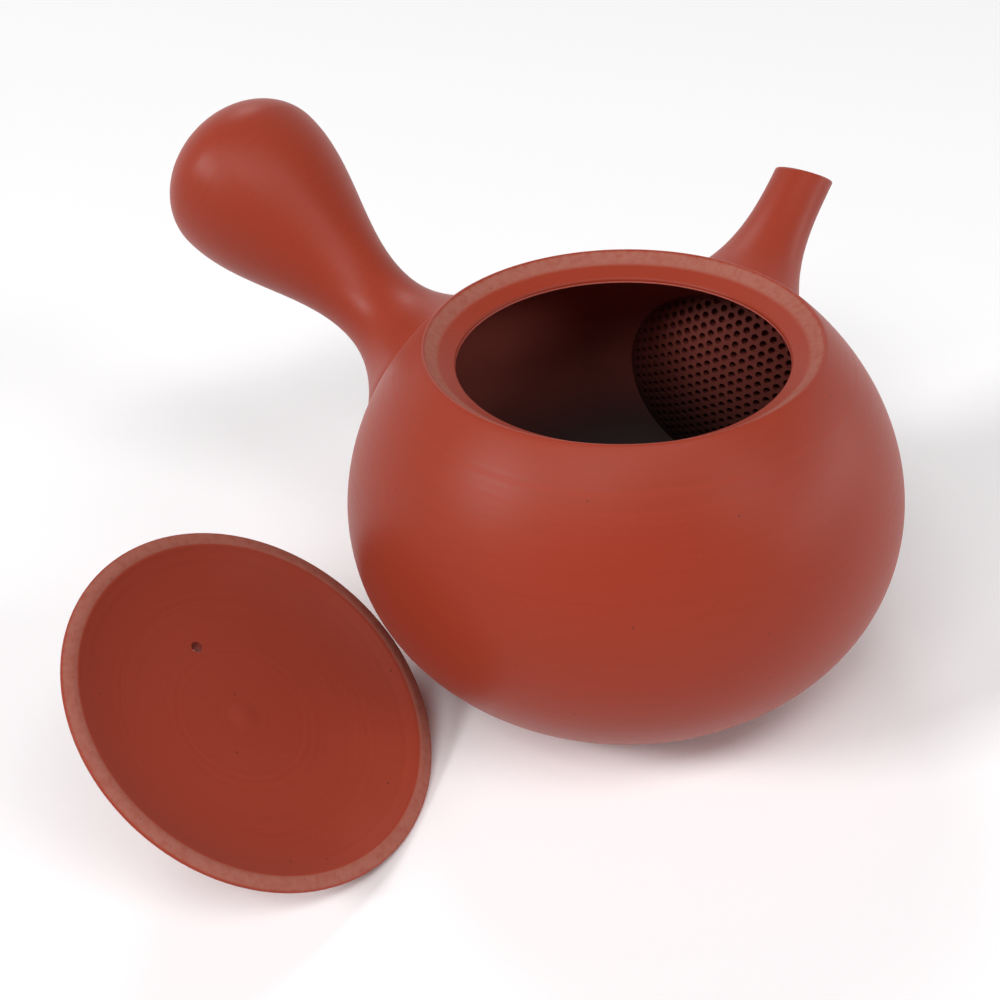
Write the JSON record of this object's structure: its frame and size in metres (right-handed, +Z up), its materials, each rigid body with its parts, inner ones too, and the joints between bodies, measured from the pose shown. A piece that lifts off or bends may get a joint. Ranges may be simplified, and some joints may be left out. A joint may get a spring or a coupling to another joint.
{
  "type": "teapot",
  "caption": "Squat round teapot of unglazed red clay with a hollow side handle, a short flared spout, a domed strainer inside and a loose dished lid with a ball knob.",
  "frame": {"origin": "centre of the flat foot, on the floor", "axes": "+Z up along the axis of the thrown body, +X towards the spout, the handle near +Y"},
  "size_m": [0.1875, 0.1697, 0.0934],
  "materials": {
    "clay": "unglazed, burnished satin",
    "slip": "unglazed, matte",
    "strainer_clay": "unglazed, matte"
  },
  "bodies": {
    "pot": {"body": "clay", "spout": "clay", "spout_slip": "slip", "handle": "clay", "handle_slip": "slip", "strainer": "strainer_clay", "strainer_slip": "slip"},
    "lid": {"lid": "clay", "knob": "clay", "knob_slip": "slip"}
  },
  "joints": [
    {"name": "lid_turn", "type": "hinge", "parent": "pot", "child": "lid", "pos_m": [-0.02968, 0.01779, 0.04108], "axis": [0.2624, 0.9246, 0.276], "range_deg": [0, 160.4]}
  ]
}
